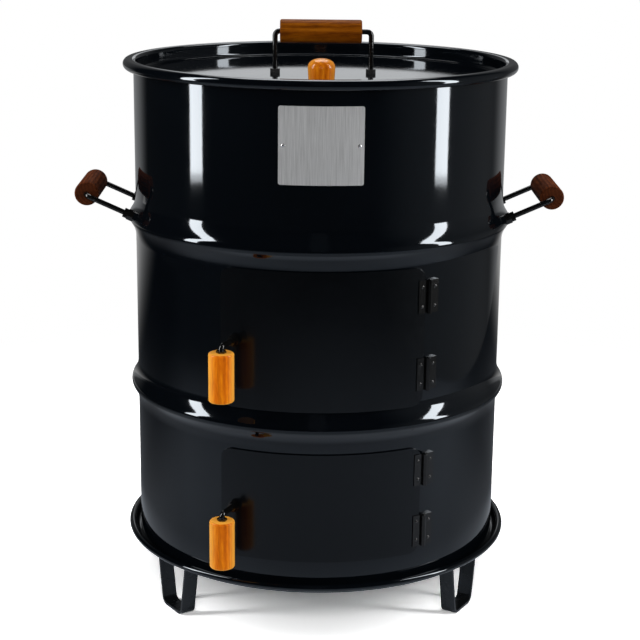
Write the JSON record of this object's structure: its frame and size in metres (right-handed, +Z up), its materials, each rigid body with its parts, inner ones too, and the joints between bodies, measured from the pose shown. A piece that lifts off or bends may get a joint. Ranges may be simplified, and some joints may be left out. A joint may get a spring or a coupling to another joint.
{
  "type": "drum smoker",
  "caption": "Upright drum smoker: hooped steel drum in a footed tray, with lift-off lid and turning vent, hinged front doors with turning latches, side handles and inner grates.",
  "frame": {"origin": "on the floor, under the middle of the whole outline, which lies a little in front of the drum's axis", "axes": "+Z up, -Y towards the doors, +X to the right as seen from the front"},
  "size_m": [0.75, 0.623, 0.9087],
  "materials": {
    "black_enamel": "blue-black gloss enamel",
    "turned_wood": "turned wood, clear varnish",
    "black_steel": "satin black rods and fasteners",
    "badge_metal": "brushed, bare",
    "grate_steel": "bare steel bar and rod"
  },
  "bodies": {
    "base": {"base_tray": "black_enamel", "foot_front_left": "black_enamel", "foot_front_right": "black_enamel", "foot_rear": "black_enamel"},
    "drum": {"drum_shell": "black_enamel", "badge_plate": "badge_metal", "badge_rivets": "badge_metal", "left_handle_rod": "black_steel", "left_handle_grip": "turned_wood", "left_handle_nuts": "black_steel", "right_handle_rod": "black_steel", "right_handle_grip": "turned_wood", "right_handle_nuts": "black_steel", "fire_grate": "grate_steel", "fire_grate_lugs": "grate_steel", "lower_grate": "grate_steel", "lower_grate_lugs": "grate_steel", "upper_grate": "grate_steel", "upper_grate_lugs": "grate_steel", "upper_top_wall_leaf": "black_enamel", "upper_top_hinge_pin": "black_steel", "upper_bottom_wall_leaf": "black_enamel", "upper_bottom_hinge_pin": "black_steel", "upper_hinge_spacers": "black_enamel", "upper_wall_rivets": "black_steel", "lower_top_wall_leaf": "black_enamel", "lower_top_hinge_pin": "black_steel", "lower_bottom_wall_leaf": "black_enamel", "lower_bottom_hinge_pin": "black_steel", "lower_hinge_spacers": "black_enamel", "lower_wall_rivets": "black_steel"},
    "lid": {"lid_pan": "black_enamel", "lid_handle_rod": "black_steel", "lid_handle_grip": "turned_wood", "lid_handle_nuts": "black_steel", "damper_stop": "black_steel"},
    "damper": {"damper_disc": "black_enamel", "damper_knob": "turned_wood", "damper_bolt": "black_steel", "damper_nut": "black_steel"},
    "upper_door": {"upper_door_panel": "black_enamel", "upper_top_door_leaf": "black_enamel", "upper_bottom_door_leaf": "black_enamel", "upper_door_rivets": "black_steel", "upper_latch_bush": "black_steel"},
    "upper_latch": {"upper_latch_rod": "black_steel", "upper_latch_tongue": "black_steel", "upper_latch_grip": "turned_wood", "upper_latch_nuts": "black_steel"},
    "lower_door": {"lower_door_panel": "black_enamel", "lower_top_door_leaf": "black_enamel", "lower_bottom_door_leaf": "black_enamel", "lower_door_rivets": "black_steel", "lower_latch_bush": "black_steel"},
    "lower_latch": {"lower_latch_rod": "black_steel", "lower_latch_tongue": "black_steel", "lower_latch_grip": "turned_wood", "lower_latch_nuts": "black_steel"}
  },
  "joints": [
    {"name": "drum_lift", "type": "slide", "parent": "base", "child": "drum", "axis": [0, 0, 1], "range_m": [0, 0.1]},
    {"name": "lid_lift", "type": "slide", "parent": "drum", "child": "lid", "axis": [0, 0, 1], "range_m": [0, 0.1]},
    {"name": "damper_turn", "type": "hinge", "parent": "lid", "child": "damper", "pos_m": [0, -0.17296, 0.828], "axis": [0, 0, 1], "range_deg": [0, 60]},
    {"name": "upper_door_swing", "type": "hinge", "parent": "drum", "child": "upper_door", "pos_m": [0.15869, -0.2395, 0.4785], "axis": [0, 0, 1], "range_deg": [0, 120]},
    {"name": "upper_latch_turn", "type": "hinge", "parent": "upper_door", "child": "upper_latch", "pos_m": [-0.12153, -0.25583, 0.4743], "axis": [0.4196, 0.9077, 0], "range_deg": [0, 90]},
    {"name": "lower_door_swing", "type": "hinge", "parent": "drum", "child": "lower_door", "pos_m": [0.15869, -0.2395, 0.225], "axis": [0, 0, 1], "range_deg": [0, 120]},
    {"name": "lower_latch_turn", "type": "hinge", "parent": "lower_door", "child": "lower_latch", "pos_m": [-0.12153, -0.25583, 0.2208], "axis": [0.4196, 0.9077, 0], "range_deg": [0, 90]}
  ]
}
